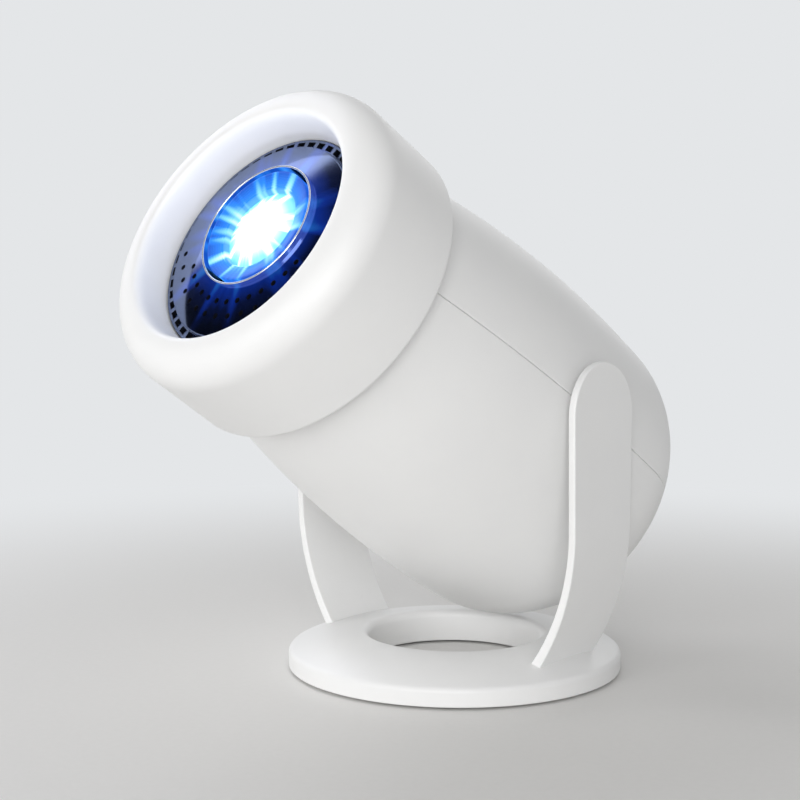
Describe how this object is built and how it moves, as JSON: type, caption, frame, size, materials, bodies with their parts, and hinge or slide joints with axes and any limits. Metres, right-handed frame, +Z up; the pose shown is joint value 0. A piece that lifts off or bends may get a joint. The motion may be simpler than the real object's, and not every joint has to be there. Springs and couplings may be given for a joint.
{
  "type": "video projector",
  "caption": "Compact video projector: a barrel head with a rounded hood, recessed dark face and lit lens, tilting between two thin arms on a round stand with a cable hole.",
  "frame": {"origin": "on the table under the middle of the round stand", "axes": "+Z up, +X along the tilt axis, the lens points toward -Y and up at rest"},
  "size_m": [0.1164, 0.1965, 0.1801],
  "materials": {
    "white_plastic": "fine satin",
    "grey_plastic": "satin",
    "black_plastic": "fine texture",
    "gloss_face": "gloss",
    "bright_trim": "polished",
    "clear_glass": "polished",
    "field_acrylic": "clear",
    "panel_glass": "dark",
    "steel": "plated",
    "pin_brass": "plated",
    "sink_aluminium": "extruded",
    "lamp_phosphor": "matte",
    "board_laminate": "coated",
    "chip_plastic": "matte",
    "cone_paper": "paper",
    "foot_rubber": "matte"
  },
  "bodies": {
    "stand": {"stand_base": "white_plastic", "base_plate": "grey_plastic", "foot_ring": "foot_rubber", "left_arm": "white_plastic", "right_arm": "white_plastic", "base_screws": "steel", "arm_screws": "steel", "pivot_washers": "steel", "pivot_screws": "steel"},
    "head": {"upper_shell": "white_plastic", "lower_shell": "white_plastic", "front_hood": "white_plastic", "light_box_lid": "grey_plastic", "front_frame": "black_plastic", "lens_holder": "black_plastic", "focus_bracket": "black_plastic", "light_box": "black_plastic", "fan_frame": "black_plastic", "rear_panel": "black_plastic", "sound_socket": "black_plastic", "power_inlet": "black_plastic", "button_switch": "black_plastic", "pivot_bushes": "black_plastic", "face_plate": "gloss_face", "lens_trim_ring": "bright_trim", "condenser_lens": "clear_glass", "front_field_lens": "field_acrylic", "rear_field_lens": "field_acrylic", "status_light": "field_acrylic", "picture_panel": "panel_glass", "sleeve_clip": "steel", "focus_axle": "steel", "speaker_basket": "steel", "picture_socket": "steel", "data_socket": "steel", "front_screws": "steel", "inner_screws": "steel", "rear_screws_set": "steel", "inlet_pins": "pin_brass", "heat_sink": "sink_aluminium", "lamp_board": "sink_aluminium", "lamp_chip": "lamp_phosphor", "main_board": "board_laminate", "power_board": "board_laminate", "port_board": "board_laminate", "main_board_parts": "chip_plastic", "power_board_parts": "chip_plastic", "speaker_cone": "cone_paper"},
    "focus_wheel": {"focus_wheel": "black_plastic"},
    "focus_sleeve": {"focus_sleeve": "grey_plastic"},
    "lens": {"lens_barrel": "black_plastic", "front_lens": "clear_glass", "rear_lens": "clear_glass", "lens_spacer": "black_plastic", "lens_retainer": "black_plastic"},
    "fan": {"fan_rotor": "black_plastic"},
    "button": {"power_button": "grey_plastic"}
  },
  "joints": [
    {"name": "head_tilt", "type": "hinge", "parent": "stand", "child": "head", "pos_m": [0, 0, 0.086], "axis": [-1, 0, 0], "range_deg": [-30, 150]},
    {"name": "focus_turn", "type": "hinge", "parent": "head", "child": "focus_wheel", "pos_m": [0, -0.04114, 0.15074], "axis": [0, -0.866, 0.5], "range_deg": [-71, 71]},
    {"name": "sleeve_turn", "type": "hinge", "parent": "head", "child": "focus_sleeve", "pos_m": [0, -0.04761, 0.11753], "axis": [0, -0.866, 0.5], "range_deg": [-20, 20]},
    {"name": "lens_slide", "type": "slide", "parent": "head", "child": "lens", "axis": [0, -0.866, 0.5], "range_m": [-0.00245, 0.00245]},
    {"name": "fan_spin", "type": "hinge", "parent": "head", "child": "fan", "pos_m": [0, 0.05363, 0.06889], "axis": [0, 0.866, -0.5], "continuous": true},
    {"name": "button_press", "type": "slide", "parent": "head", "child": "button", "axis": [0, -0.866, 0.5], "range_m": [0, 0.0008], "stiffness_N_per_m": 800}
  ],
  "couplings": [
    {"joint": "sleeve_turn", "follows": "lens_slide", "rad_per_m": -139.63},
    {"joint": "focus_turn", "follows": "lens_slide", "rad_per_m": 498.67}
  ]
}
